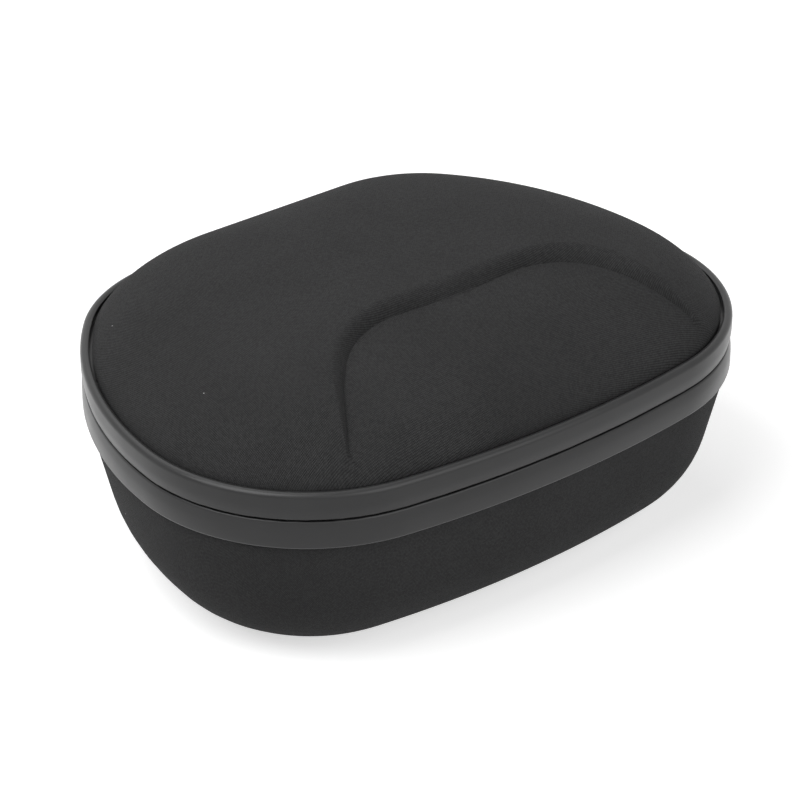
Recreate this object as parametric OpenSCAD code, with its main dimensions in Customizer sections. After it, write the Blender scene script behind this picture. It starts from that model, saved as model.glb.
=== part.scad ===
// Hard-shell zipped carrying case for over-ear headphones.
// Two moulded laminated shells, joined at the back by a flexible hinge strip and
// all round by a zip whose two smooth coated tapes make the raised band.
// Origin: centre of the resting face, on the floor. X runs along the case, the wide
// front edge faces -Y, the hinge edge faces +Y.

/* [Overall] */
// Length over the zip band
case_l = 240; // [220:1:280]
// Depth over the zip band, from the front edge to the hinge edge
case_d = 184; // [176:1:210]
// Height of the base, from the floor to the zip seam
base_h = 66.5; // [56:0.5:90]
// Height of the lid, from the zip seam to the top of its arch
lid_h = 43; // [32:0.5:60]

/* [Outline] */
// Angle that each half of the long front edge bows through
front_bow = 8.7; // [7:0.1:11]
// Radius of the two front corners
front_corner_r = 67; // [58:1:74]
// Angle by which the ends lean in where they leave the front corners
side_lean = 2.7; // [0.5:0.1:6]
// Angle that each end turns through between its corners
side_sweep = 38.5; // [30:0.5:42]
// Radius of the two hinge-side corners
back_corner_r = 62; // [56:1:66]

/* [Zip band] */
// Height of each coated tape, from the seam to its far edge
tape_h = 10.4; // [8.5:0.1:13]
// Thickness of a coated tape
tape_t = 1.25; // [0.9:0.05:1.6]
// Open width of the seam between the two tapes
seam_gap = 1; // [0.9:0.05:1.4]
// How far the tape edges sit in from the widest line at the seam
seam_set = 0.8; // [0.3:0.1:1.2]
// Width of the rolled lip along the top of the lid tape
lip_w = 4.3; // [3.4:0.1:5.5]
// Height of the roll of that lip
lip_roll = 2; // [1.2:0.1:2.6]
// Depth of the groove between the lip and the dome
lip_drop = 0.7; // [0.3:0.1:1.2]
// Half width of each tooth coil
coil_r = 1.1; // [0.8:0.05:1.3]
// Width of the hinge strip at the back
hinge_w = 68; // [50:1:68]
// Length of the metal stop at each end of a coil
stop_l = 2.6; // [1.5:0.1:4]

/* [Shell layers] */
// Thickness of the woven cover
cover_t = 0.8; // [0.5:0.1:1.2]
// Thickness of the foam core
foam_t = 4; // [2.5:0.1:5]
// Thickness of the lining
lining_t = 0.6; // [0.4:0.1:1]
// Distance from the seam to the bare edge of each shell
edge_h = 6; // [5.4:0.1:7]
// Thickness of the binding round each inner edge
bind_t = 0.8; // [0.5:0.1:1]
// Height of the binding up the lining
bind_h = 3; // [2:0.1:3.2]

/* [Base] */
// Angle by which the base walls lean in
base_taper = 13.3; // [6:0.1:16]
// Radius of the bottom edge
bottom_r = 38; // [30:0.5:40]

/* [Lid dome] */
// Distance in front of the middle at which the dome is highest
crown_y = 18; // [0:1:24]
// How flat the dome runs before it falls to the rim
crown_flat = 3.6; // [2:0.1:5]
// How square the dome meets the rim
crown_edge = 1.25; // [1:0.05:2.4]

/* [Raised arch] */
// Depth of the step from the arch down to the front recess
step_h = 5.5; // [3:0.1:8]
// Width of the slope of that step
step_w = 6; // [4:0.5:10]
// Distance of the step's straight back line in front of the middle
arch_y = 30; // [22:1:38]
// Half width of the recess along that back line
arch_back_x = 58; // [50:1:64]
// Half width of the recess where it runs out at the front rim
arch_front_x = 84; // [76:1:90]
// Radius of the arch's inner corners in plan
arch_r = 44; // [30:1:50]

/* [Zip sliders] */
// Length of a slider
slider_l = 11; // [9:0.5:13]
// Width of a slider over its nose
slider_w = 7; // [6:0.1:7.6]
// Thickness of each slider plate
plate_t = 1; // [0.8:0.1:1.2]
// Clearance between a slider and the tapes and coils
slider_gap = 0.55; // [0.4:0.05:0.7]
// Thickness of the neck that joins the plates through the seam
neck_t = 0.4; // [0.3:0.05:0.4]
// Gap between the two parked sliders
park_gap = 0.8; // [0.4:0.1:3]
// Radius of the cross bar of a pull
bar_r = 0.5; // [0.4:0.05:0.6]
// Length of a pull from its bar to its tip
pull_l = 25; // [18:1:32]
// Width of a pull
pull_w = 6; // [5:0.1:7]
// Thickness of a pull
pull_t = 1.2; // [0.9:0.1:1.3]
// Running clearance round the bar of a pull
pull_gap = 0.3; // [0.25:0.05:0.4]

/* [Lid pocket] */
// Distance of the pocket's open edge behind the middle
pocket_y = 6; // [-5:1:30]
// Thickness of the mesh
mesh_t = 0.8; // [0.6:0.1:1.2]
// Width of the elastic along the open edge
elastic_w = 8; // [6:0.5:12]
// Thickness of the elastic
elastic_t = 1.6; // [1.2:0.1:2]
// Clearance of sewn-in pieces from what they lie against
seat_gap = 0.15; // [0.1:0.05:0.2]

/* [Hidden] */

// Points on each run of the outline: front, corner, end, hinge-side corner
steps = [3, 8, 8, 4];
// Small extra reach of a cutting solid
cut = 1;

// ---- Outline: five tangent runs on each half, by heading from the front centre ----
h1 = front_bow;
h2 = 90 + side_lean;
h3 = h2 + side_sweep;
front_r = (case_l / 2 - front_corner_r * (1 - sin(h1))) / sin(h1);
side_r = (case_d - front_r * (1 - cos(h1)) - front_corner_r * (cos(h1) - cos(h2))
    - back_corner_r * (cos(h3) + 1)) / (cos(h2) - cos(h3));
function out_dir(a) = [sin(a), -cos(a)];
front_c = [0, front_r - case_d / 2];
corner_c = front_c + (front_r - front_corner_r) * out_dir(h1);
side_c = corner_c + (front_corner_r - side_r) * out_dir(h2);
back_c = side_c + (side_r - back_corner_r) * out_dir(h3);
back_x = back_c[0];
back_y = case_d / 2;

// Points along one run, from heading a to heading b, moved in by s
function run_points(c, r, a, b, n, s) =
    [for (i = [0:n - 1]) c + (r - s) * out_dir(a + (b - a) * i / n)];
function half_outline(s) = concat(
    run_points(front_c, front_r, 0, h1, steps[0], s),
    run_points(corner_c, front_corner_r, h1, h2, steps[1], s),
    run_points(side_c, side_r, h2, h3, steps[2], s),
    run_points(back_c, back_corner_r, h3, 180, steps[3], s),
    [[back_x, back_y - s]]);
function turned(p) = [for (i = [len(p) - 1:-1:0]) p[i]];
function flip(p) = [for (q = turned(p)) if (q[0] != 0) [-q[0], q[1]]];
function outline(s) = concat(half_outline(s), flip(half_outline(s)));
// The outline left open at the hinge, from x round the front to -x
function open_outline(s, x) = concat([[x, back_y - s]], turned(half_outline(s)),
    [for (q = half_outline(s)) if (q[0] != 0) [-q[0], q[1]]], [[-x, back_y - s]]);

// ---- Heights ----
seam_z = base_h;
half_gap = seam_gap / 2;
lip_z = tape_h - lip_drop;
dome_h = lid_h - lip_z;
shell_t = cover_t + foam_t + lining_t;

// ---- Sweep of a profile round the outline ----
// The profile is two chains of [inset, height] points, outer and inner, of equal length
function quads(n, m, o, over) =
    [for (k = [0:m - 2]) for (i = [0:n - 2]) for (h = [0, 1])
        let (a = o + k * n + i, b = a + n, f = h == 0 ? [a, a + 1, b] : [a + 1, b + 1, b])
        over ? turned(f) : f];
function seam_quads(n, a0, b0, over) =
    [for (i = [0:n - 2]) for (h = [0, 1])
        let (a = a0 + i, b = b0 + i, f = h == 0 ? [a, a + 1, b] : [a + 1, b + 1, b])
        over ? turned(f) : f];
function end_quads(n, m, i, over) =
    [for (k = [0:m - 2]) for (h = [0, 1])
        let (a = k * n + i, b = (m + k) * n + i, f = h == 0 ? [a, a + n, b] : [a + n, b + n, b])
        over ? turned(f) : f];
module open_sweep(outer, inner, x) {
    n = len(open_outline(0, x));
    m = len(outer);
    pts = [for (c = [outer, inner]) for (q = c) for (p = open_outline(q[0], x)) [p[0], p[1], q[1]]];
    up = outer[m - 1][1] > outer[0][1];
    polyhedron(pts, concat(quads(n, m, 0, !up), quads(n, m, m * n, up),
        seam_quads(n, 0, m * n, up), seam_quads(n, (m - 1) * n, (2 * m - 1) * n, !up),
        end_quads(n, m, 0, !up), end_quads(n, m, n - 1, up)), convexity = 8);
}
// A profile carried straight along the hinge edge
module straight_run(x0, x1, outer, inner)
    translate([x0, back_y, 0])
        rotate([90, 0, 90])
            linear_extrude(x1 - x0)
                polygon([for (p = concat(outer, turned(inner))) [-p[0], p[1]]]);
// A flat ring between two insets
module ring(s0, s1, z0, z1)
    translate([0, 0, z0])
        linear_extrude(z1 - z0)
            difference() {
                polygon(outline(s0));
                polygon(outline(s1));
            }

// ---- Zip band ----
skirt_n = 3;
waist = tape_h / 2;
function bulge(b) = seam_set * (1 - sin(90 * min(1, b / waist)));
function skirt(g, up, t) = [for (i = [0:skirt_n])
    let (b = g + (waist - g) * i / skirt_n) [bulge(b) + t, seam_z + up * b]];
function lid_tape_outer(g) = concat(skirt(g, 1, 0), [for (t = [0, 45, 90, 140])
    [lip_w / 2 * (1 - cos(t)), seam_z + tape_h - lip_roll + lip_roll * sin(t)]]);
function lid_tape_inner(g) = concat(skirt(g, 1, tape_t), [[tape_t, seam_z + edge_h - tape_t / 4],
    [lip_w, seam_z + edge_h], [lip_w, seam_z + (edge_h + lip_z) / 2], [lip_w, seam_z + lip_z]]);
function base_tape_outer(g) = concat(skirt(g, -1, 0), [[0, seam_z - tape_h + tape_t],
    [tape_t / 3, seam_z - tape_h + tape_t / 3], [tape_t * 0.9, seam_z - tape_h]]);
function base_tape_inner(g) = concat(skirt(g, -1, tape_t), [[tape_t, seam_z - tape_h * 0.65],
    [tape_t, seam_z - tape_h * 0.82], [tape_t, seam_z - tape_h * 0.98]]);
coil_s = seam_set + tape_t + coil_r;
coil_b = half_gap + coil_r;
// Half the strip, kept on the straight run between the hinge-side corners
hinge_half = min(hinge_w / 2, back_x - stop_l - seat_gap * 3);
tape_x = hinge_half + seat_gap * 2;
coil_x = tape_x + stop_l;

module lid_tape()
    color("#464646") open_sweep(lid_tape_outer(half_gap), lid_tape_inner(half_gap), tape_x);
module base_tape()
    color("#464646") open_sweep(base_tape_outer(half_gap), base_tape_inner(half_gap), tape_x);

// Each coil of teeth runs behind its tape
module coil_run(up)
    translate([0, 0, seam_z + up * coil_b - coil_r])
        linear_extrude(coil_r * 2)
            polygon(concat(open_outline(coil_s - coil_r, coil_x),
                turned(open_outline(coil_s + coil_r, coil_x))));
module lid_coil() color("#262626") coil_run(1);
module base_coil() color("#262626") coil_run(-1);

// A stop closes each end of a coil on the straight run
module end_stops(up)
    for (k = [0, 1])
        mirror([k, 0, 0])
            translate([tape_x, back_y - coil_s - coil_r, seam_z + up * coil_b - coil_r])
                cube([stop_l, coil_r * 2, coil_r * 2]);
module lid_end_stops() color("#6a6a6c") end_stops(1);
module base_end_stops() color("#6a6a6c") end_stops(-1);

// ---- Hinge strip: the two leaves meet at the fold line ----
leaf_gap = seat_gap;
module hinge_strip_lid() color("#3c3c3c")
    straight_run(-hinge_half, hinge_half, lid_tape_outer(leaf_gap), lid_tape_inner(leaf_gap));
module hinge_strip_base() color("#3c3c3c")
    straight_run(-hinge_half, hinge_half, base_tape_outer(leaf_gap), base_tape_inner(leaf_gap));

// ---- Closed shells made of rings from a middle point out to the rim ----
function shell_faces(n, m, o, over) = concat(
    [for (i = [0:n - 1]) let (j = (i + 1) % n)
        over ? [o, o + 1 + j, o + 1 + i] : [o, o + 1 + i, o + 1 + j]],
    [for (k = [0:m - 2]) for (i = [0:n - 1]) for (h = [0, 1])
        let (j = (i + 1) % n, a = o + 1 + k * n, b = a + n,
            f = h == 0 ? [a + i, b + i, a + j] : [a + j, b + i, b + j])
        over ? turned(f) : f]);
// Two skins, each a middle point and rings, closed along their last rings
module shell(mid0, rings0, mid1, rings1, over) {
    n = len(rings0[0]);
    m = len(rings0);
    size = 1 + n * m;
    function points(mid, rings) = concat([mid], [for (r = rings) for (p = r) p]);
    edge = [for (i = [0:n - 1]) for (h = [0, 1])
        let (j = (i + 1) % n, a = size - n, b = 2 * size - n,
            f = h == 0 ? [a + i, b + i, a + j] : [a + j, b + i, b + j])
        over ? turned(f) : f];
    polyhedron(concat(points(mid0, rings0), points(mid1, rings1)),
        concat(shell_faces(n, m, 0, over), shell_faces(n, m, size, !over), edge), convexity = 8);
}

// ---- Base shell ----
bottom_n = 5;
drop_t = base_h - tape_h - bottom_r * (1 - sin(base_taper));
bottom_s = tape_t + tan(base_taper) * drop_t + bottom_r * cos(base_taper);
// The wall at depth t into the laminate: rounded edge, foot of the band, rim
function base_wall(t) = concat(
    [for (i = [bottom_n:-1:0]) let (a = base_taper + (90 - base_taper) * i / bottom_n)
        [bottom_s - (bottom_r - t) * cos(a), bottom_r - (bottom_r - t) * sin(a)]],
    [[tape_t + t, seam_z - tape_h + t * tan(base_taper / 2)], [tape_t + t, seam_z - edge_h]]);
function base_rings(t) = [for (q = base_wall(t)) [for (p = outline(q[0])) [p[0], p[1], q[1]]]];
module base_layer(t0, t1)
    shell([0, 0, t0], base_rings(t0), [0, 0, t1], base_rings(t1), false);
module base_cover() color("#303030") base_layer(0, cover_t);
module base_foam() color("#1f1f20") base_layer(cover_t, cover_t + foam_t);
module base_lining() color("#2a2a2c") base_layer(cover_t + foam_t, shell_t);

// ---- Bindings round the inner edges: a cap under each edge and a turn up the lining ----
lid_in = lip_w + shell_t;
base_in = tape_t + shell_t;
module binding(s_out, s_in, up) {
    z = seam_z + up * edge_h;
    ring(s_out, s_in + seat_gap + bind_t, min(z, z - up * bind_t), max(z, z - up * bind_t));
    ring(s_in + seat_gap, s_in + seat_gap + bind_t, min(z - up * bind_t, z + up * bind_h),
        max(z - up * bind_t, z + up * bind_h));
}
module lid_binding() color("#1c1c1c") binding(lip_w + seat_gap, lid_in, 1);
module base_binding() color("#1c1c1c") binding(tape_t + seat_gap * 2, base_in, -1);

// ---- Lid dome ----
// Tables of [bearing, distance] give the rim and the arch line as seen from a point
function bearing(p, c) = let (a = atan2(p[1] - c[1], p[0] - c[0]) + 90) a < 0 ? a + 360 : a;
function seen(pts, c) = [for (p = pts) [bearing(p, c), norm(p - c)]];
function rim_table(s, c) = let (t = seen(outline(s), c)) concat(t, [[360, t[0][1]]]);
crown_c = [0, -crown_y];
grid_c = [0, (-case_d / 2 - arch_y) / 2];

// The arch line in plan: a leg, a rounded corner and half of the straight back line
leg_foot = [arch_front_x, -case_d / 2 + lip_w];
leg_top = [arch_back_x, -arch_y];
leg_dir = (leg_foot - leg_top) / norm(leg_foot - leg_top);
leg_turn = acos(-leg_dir[0]);
leg_cut = arch_r / tan(leg_turn / 2);
arch_n = 8;
arch_c = [leg_top[0] - leg_cut, -arch_y - arch_r];
leg_beyond = 8;
leg_start = leg_foot + leg_dir * leg_beyond;
leg_end = leg_top + leg_dir * leg_cut;
half_arch = concat(
    [for (i = [0:arch_n - 1]) leg_start + (leg_end - leg_start) * i / arch_n],
    [for (i = [0:arch_n]) let (a = (180 - leg_turn) * (1 - i / arch_n))
        arch_c + arch_r * [sin(a), cos(a)]],
    [for (i = [1:arch_n - 1]) [arch_c[0] * (1 - i / arch_n), -arch_y]]);
arch_line = concat(half_arch, [[0, -arch_y]], [for (p = turned(half_arch)) [-p[0], p[1]]]);
arch_table = seen(arch_line, grid_c);

// Rings of the dome grid: recess, step and arch
inner_rings = [0.35, 0.68, 0.9];
step_rings = [0, 0.33, 0.67, 1];
outer_rings = [0.22, 0.5, 0.75, 0.91, 1];
function smooth(u) = let (v = max(0, min(1, u))) v * v * (3 - 2 * v);
// Distances of the rings along a spoke, for rim distance q and arch distance m
function ring_list(q, m) = let (e = min(m, q * 0.86)) concat(
    [for (f = inner_rings) (e - step_w) * f],
    [for (f = step_rings) e - step_w + step_w * f],
    [for (f = outer_rings) e + (q - e) * f]);
ring_n = len(ring_list(1, 1));
// Height of the dome over the rim, at p, for laminate depth t, and how far out p lies
function crown(p, t, table) =
    let (rho = min(1, norm(p - crown_c) / lookup(bearing(p, crown_c), table)))
    [(dome_h - t) * pow(max(0, 1 - pow(rho, crown_flat)), 1 / crown_edge), rho];
function dome_z(p, d, m, t, table) =
    let (c = crown(p, t, table), u = (d - m + step_w) / step_w)
    seam_z + lip_z + c[0] - step_h * (1 - smooth(u)) * (1 - smooth((c[1] - 0.72) / 0.28));

function dome_rings(t) =
    let (rim = outline(lip_w + t), far = rim_table(lip_w + t, crown_c))
    concat(
        [for (k = [0:ring_n - 1]) [for (r = rim)
            let (q = norm(r - grid_c), u = (r - grid_c) / q, a = bearing(r, grid_c),
                m = lookup(a, arch_table), d = ring_list(q, m)[k], p = grid_c + d * u)
            k == ring_n - 1 ? [r[0], r[1], seam_z + lip_z] : [p[0], p[1], dome_z(p, d, m, t, far)]]],
        [[for (r = rim) [r[0], r[1], seam_z + edge_h]]]);
function dome_mid(t) = [grid_c[0], grid_c[1],
    dome_z(grid_c, 0, lookup(180, arch_table), t, rim_table(lip_w + t, crown_c))];
module lid_layer(t0, t1)
    shell(dome_mid(t0), dome_rings(t0), dome_mid(t1), dome_rings(t1), true);
module lid_cover() color("#383838") lid_layer(0, cover_t);
module lid_foam() color("#1f1f20") lid_layer(cover_t, cover_t + foam_t);
module lid_lining() color("#2a2a2c") lid_layer(cover_t + foam_t, shell_t);

// ---- Mesh pocket sewn across the back half of the lid ----
pocket_s = lid_in + seat_gap * 2 + bind_t;
pocket_z = seam_z + edge_h + (bind_h - mesh_t) / 2 - bind_t;
module pocket_area(y0, y1)
    intersection() {
        polygon(outline(pocket_s));
        translate([-case_l / 2, y0]) square([case_l, y1 - y0]);
    }
module pocket_mesh()
    color("#2c2c2e") translate([0, 0, pocket_z])
        linear_extrude(mesh_t) pocket_area(pocket_y + elastic_w, back_y);
module pocket_elastic()
    color("#1a1a1a") translate([0, 0, pocket_z + (mesh_t - elastic_t) / 2])
        linear_extrude(elastic_t) pocket_area(pocket_y, pocket_y + elastic_w);

// ---- Sliders: local X points out of the band, Y along it, Z up ----
park_a = (h2 + h3) / 2;
park_step = asin((slider_l + park_gap) / 2 / side_r);
front_s = slider_gap;
back_s = coil_s + coil_r + slider_gap;
tail_w = slider_w * 0.72;
flange_t = 0.7;
neck_l = 3;
arch_w = 1.6;
arm_gap = 0.5;
bar_x = front_s + plate_t + pull_t / 2 + pull_gap;
eye_half = bar_r + pull_gap;
arch_t = 0.9;
module on_side(a)
    translate([side_c[0], side_c[1], seam_z])
        rotate([0, 0, a - 90])
            translate([side_r, 0, 0]) children();
// Plan of a plate, nose at +Y
module plate(x, t)
    translate([x, 0, 0])
        rotate([90, 0, 90])
            linear_extrude(t)
                polygon([[-slider_l / 2, -tail_w / 2 + 0.8], [-slider_l / 2 + 0.8, -tail_w / 2],
                    [slider_l * 0.12, -slider_w / 2], [slider_l / 2 - 1.6, -slider_w / 2],
                    [slider_l / 2, -slider_w / 2 + 1.8], [slider_l / 2, slider_w / 2 - 1.8],
                    [slider_l / 2 - 1.6, slider_w / 2], [slider_l * 0.12, slider_w / 2],
                    [-slider_l / 2 + 0.8, tail_w / 2], [-slider_l / 2, tail_w / 2 - 0.8]]);
module slider_body() {
    plate(front_s, plate_t);
    plate(-back_s - plate_t, plate_t);
    // Neck through the seam, at the nose
    translate([-back_s - plate_t / 2, slider_l / 2 - neck_l - 0.4, -neck_t / 2])
        cube([back_s + front_s + plate_t, neck_l, neck_t]);
    // Lower flange beside the base coil
    translate([-back_s - plate_t, -slider_l / 2 + 0.8, -coil_b - coil_r - slider_gap * 0.6 - flange_t])
        cube([coil_r * 1.4 + plate_t, slider_l - 2.4, flange_t]);
    // Arch that holds the pull
    difference() {
        translate([front_s + plate_t - cut / 5, -eye_half - arch_t * 2, -arch_w / 2])
            cube([bar_x + bar_r + pull_gap + arch_t - front_s - plate_t + cut / 5,
                (eye_half + arch_t * 2) * 2, arch_w]);
        translate([front_s + plate_t, -eye_half - arch_t, -arch_w])
            cube([bar_x + bar_r + pull_gap - front_s - plate_t, (eye_half + arch_t) * 2, arch_w * 2]);
    }
}
module pull_body() {
    arm_z = arch_w / 2 + arm_gap;
    arm_w = pull_w / 2 - arm_z;
    arm_l = eye_half + arch_t * 2 + pull_gap + bar_r;
    // Cross bar under the arch
    translate([bar_x, 0, -pull_w / 2]) cylinder(r = bar_r, h = pull_w, $fn = 32);
    for (k = [0, 1])
        mirror([0, 0, k]) {
            translate([bar_x, 0, arm_z]) cylinder(r = pull_t / 2, h = arm_w, $fn = 32);
            translate([bar_x - pull_t / 2, -arm_l - cut, arm_z]) cube([pull_t, arm_l + cut, arm_w]);
        }
    // Tab with a slot
    translate([bar_x - pull_t / 2, 0, 0])
        rotate([90, 0, 90])
            linear_extrude(pull_t)
                difference() {
                    union() {
                        translate([-pull_l + pull_w / 2, -pull_w / 2])
                            square([pull_l - pull_w / 2 - arm_l, pull_w]);
                        translate([-pull_l + pull_w / 2, 0]) circle(d = pull_w, $fn = 48);
                    }
                    translate([-pull_l + pull_w / 2, 0]) circle(d = pull_w * 0.4, $fn = 32);
                }
}
module slider_front() color("#3a3a3c") on_side(park_a - park_step) slider_body();
module slider_rear() color("#3a3a3c") on_side(park_a + park_step) mirror([0, 1, 0]) slider_body();
module pull_front() color("#444446") on_side(park_a - park_step) pull_body();
module pull_rear() color("#444446") on_side(park_a + park_step) mirror([0, 1, 0]) pull_body();

base_cover();
base_foam();
base_lining();
base_tape();
base_coil();
base_binding();
base_end_stops();
hinge_strip_base();
lid_cover();
lid_foam();
lid_lining();
lid_tape();
lid_coil();
lid_binding();
lid_end_stops();
hinge_strip_lid();
pocket_mesh();
pocket_elastic();
slider_front();
slider_rear();
pull_front();
pull_rear();
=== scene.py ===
"""Zipped hard-shell carrying case for headphones: surfaces, trims, stage and camera
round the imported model. Every length is in metres, +Z up, the case standing on the floor."""
import math

import bmesh
import bpy
import numpy as np
from mathutils import Matrix, Vector


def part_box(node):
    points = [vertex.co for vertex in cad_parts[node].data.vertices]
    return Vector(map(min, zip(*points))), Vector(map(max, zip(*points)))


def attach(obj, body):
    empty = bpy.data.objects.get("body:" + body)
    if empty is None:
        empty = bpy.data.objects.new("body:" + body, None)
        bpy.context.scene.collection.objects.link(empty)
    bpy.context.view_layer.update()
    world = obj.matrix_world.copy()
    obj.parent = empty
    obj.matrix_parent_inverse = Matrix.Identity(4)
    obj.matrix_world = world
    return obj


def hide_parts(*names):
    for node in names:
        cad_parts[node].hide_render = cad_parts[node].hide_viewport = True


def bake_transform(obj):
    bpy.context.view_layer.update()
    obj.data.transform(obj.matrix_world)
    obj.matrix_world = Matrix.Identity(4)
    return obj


bl_info = {
    "name": "Zipped Headphone Case",
    "version": (1, 0, 0),
    "blender": (4, 5, 0),
    "location": "View3D > Sidebar > Case",
    "description": "Moulded fabric shells, coated zip band, hinge, pocket and stage",
    "category": "Object",
}

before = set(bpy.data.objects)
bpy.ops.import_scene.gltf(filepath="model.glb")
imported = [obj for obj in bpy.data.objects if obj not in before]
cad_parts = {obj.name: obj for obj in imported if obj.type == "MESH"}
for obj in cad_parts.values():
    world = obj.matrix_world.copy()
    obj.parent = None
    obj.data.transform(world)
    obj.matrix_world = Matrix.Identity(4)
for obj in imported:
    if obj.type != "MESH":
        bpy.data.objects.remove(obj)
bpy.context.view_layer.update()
MM = 0.001


def box_size(node):
    low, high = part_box(node)
    return high - low


LID_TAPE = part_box("lid_tape")
BASE_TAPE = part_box("base_tape")
SEAM_Z = (LID_TAPE[0].z + BASE_TAPE[1].z) / 2
LID_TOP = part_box("lid_cover")[1].z
HINGE_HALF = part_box("hinge_strip_lid")[1].x


# ---------------------------------------------------------------- settings


def length(name, default, text, low=0.0, high=1.0):
    return bpy.props.FloatProperty(name=name, description=text, default=default,
                                   min=low, max=high, subtype="DISTANCE", unit="LENGTH",
                                   precision=5)


def angle(name, degrees, text):
    return bpy.props.FloatProperty(name=name, description=text, subtype="ANGLE",
                                   unit="ROTATION", default=math.radians(degrees))


def tone(name, default, text):
    return bpy.props.FloatVectorProperty(name=name, description=text, subtype="COLOR",
                                         size=3, min=0.0, max=1.0, default=default)


class CaseShape(bpy.types.PropertyGroup):
    case_l: length("Length", box_size("lid_tape").x, "Length over the zip band")
    case_d: length("Depth", box_size("lid_tape").y, "Depth over the zip band")
    seam_z: length("Seam height", SEAM_Z, "Height of the zip seam over the floor")
    lid_h: length("Lid height", LID_TOP - SEAM_Z, "Height of the lid over the seam")
    front_bow: angle("Front bow", 8.7, "Angle that each half of the front edge bows through")
    front_corner_r: length("Front corner", 67 * MM, "Radius of the front corners")
    side_lean: angle("End lean", 2.7, "Angle by which the ends lean in at the front")
    side_sweep: angle("End sweep", 38.5, "Angle that each end turns through")
    back_corner_r: length("Back corner", 62 * MM, "Radius of the hinge-side corners")
    tape_h: length("Tape height", 10.4 * MM, "Height of each coated tape")
    tape_t: length("Tape thickness", 1.25 * MM, "Thickness of a coated tape")
    seam_half: length("Seam half gap", 0.3 * MM, "Half the open width of the seam")
    seam_set: length("Seam set", 0.8 * MM, "How far the tapes draw in at the seam")
    lip_w: length("Lip width", 4.3 * MM, "Width of the rolled lip to the dome")
    lip_roll: length("Lip roll", 2 * MM, "Height of the roll of the lip")
    groove_w: length("Groove width", 0.7 * MM, "Open width between lip and dome at the front")
    groove_end: length("Groove at ends", 2.2 * MM, "Open width between lip and dome at the ends")
    groove_z: length("Groove depth", 3.0 * MM, "Depth of that groove")
    cover_t: length("Cover", 0.8 * MM, "Thickness of the woven cover")
    foam_t: length("Foam", 4 * MM, "Thickness of the foam core")
    lining_t: length("Lining", 0.6 * MM, "Thickness of the lining")
    edge_h: length("Edge height", 6 * MM, "Distance of each shell's edge from the seam")
    base_taper: angle("Base taper", 13.3, "Angle by which the base walls lean in")
    bottom_r: length("Bottom edge", 38 * MM, "Radius of the bottom edge")
    crown_y: length("Crown place", 18 * MM, "How far in front of the middle the dome is highest")
    crown_flat: bpy.props.FloatProperty(name="Crown flatness", default=3.6,
                                        description="How flat the dome runs before it falls")
    crown_edge: bpy.props.FloatProperty(name="Crown edge", default=1.25,
                                        description="How square the dome meets the rim")
    step_h: length("Step depth", 5.5 * MM, "Depth of the step down to the front recess")
    step_w: length("Step width", 6 * MM, "Width of the slope of the step")
    step_narrow: bpy.props.FloatProperty(name="Step narrows", default=0.66,
                                         description="Share of the way out where it narrows")
    step_fade: bpy.props.FloatProperty(name="Step runs out", default=0.7,
                                       description="Share of the way out where it runs out")
    arch_y: length("Arch line", 30 * MM, "Distance of the step's back line before the middle")
    arch_back_x: length("Arch half width", 58 * MM, "Half width of the recess at the back")
    arch_front_x: length("Arch foot", 84 * MM, "Half width of the recess at the front rim")
    arch_r: length("Arch corner", 44 * MM, "Radius of the inner corners of the arch")


class CaseFinish(bpy.types.PropertyGroup):
    cloth: tone("Cloth", (0.035, 0.035, 0.0355), "Colour of the woven cover")
    film: tone("Coated tape", (0.025, 0.025, 0.0255), "Colour of the coated tapes")
    lining: tone("Lining", (0.02, 0.02, 0.021), "Colour of the lining")
    foam: tone("Foam", (0.012, 0.012, 0.013), "Colour of the foam core")
    ribbon: tone("Binding", (0.011, 0.011, 0.0115), "Colour of the bindings and the elastic")
    coil: tone("Coils", (0.012, 0.012, 0.012), "Colour of the zip's coils")
    metal: tone("Sliders", (0.09, 0.09, 0.095), "Colour of the sliders and pulls")
    floor: tone("Floor", (0.8, 0.8, 0.8), "Colour of the floor")
    thread: length("Thread pitch", 0.6 * MM, "Distance between the threads of the cover")


class CaseStage(bpy.types.PropertyGroup):
    aim: bpy.props.FloatVectorProperty(name="Aim", description="Point that the camera faces",
                                       subtype="TRANSLATION", unit="LENGTH", size=3,
                                       default=(-0.01509, -0.02292, 0.06165))
    azimuth: angle("Azimuth", -38.585, "Direction of the camera round the case")
    elevation: angle("Elevation", 29.814, "Height of the camera as an angle")
    distance: length("Distance", 1.21, "Distance of the camera", high=20.0)
    lens: bpy.props.FloatProperty(name="Lens", default=155.91, description="Focal length",
                                  subtype="DISTANCE_CAMERA")


# ---------------------------------------------------------------- outline


MIRROR = np.array([-1.0, 1.0])


def headings(a, b, n):
    return a + (b - a) * np.arange(n) / n


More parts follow.
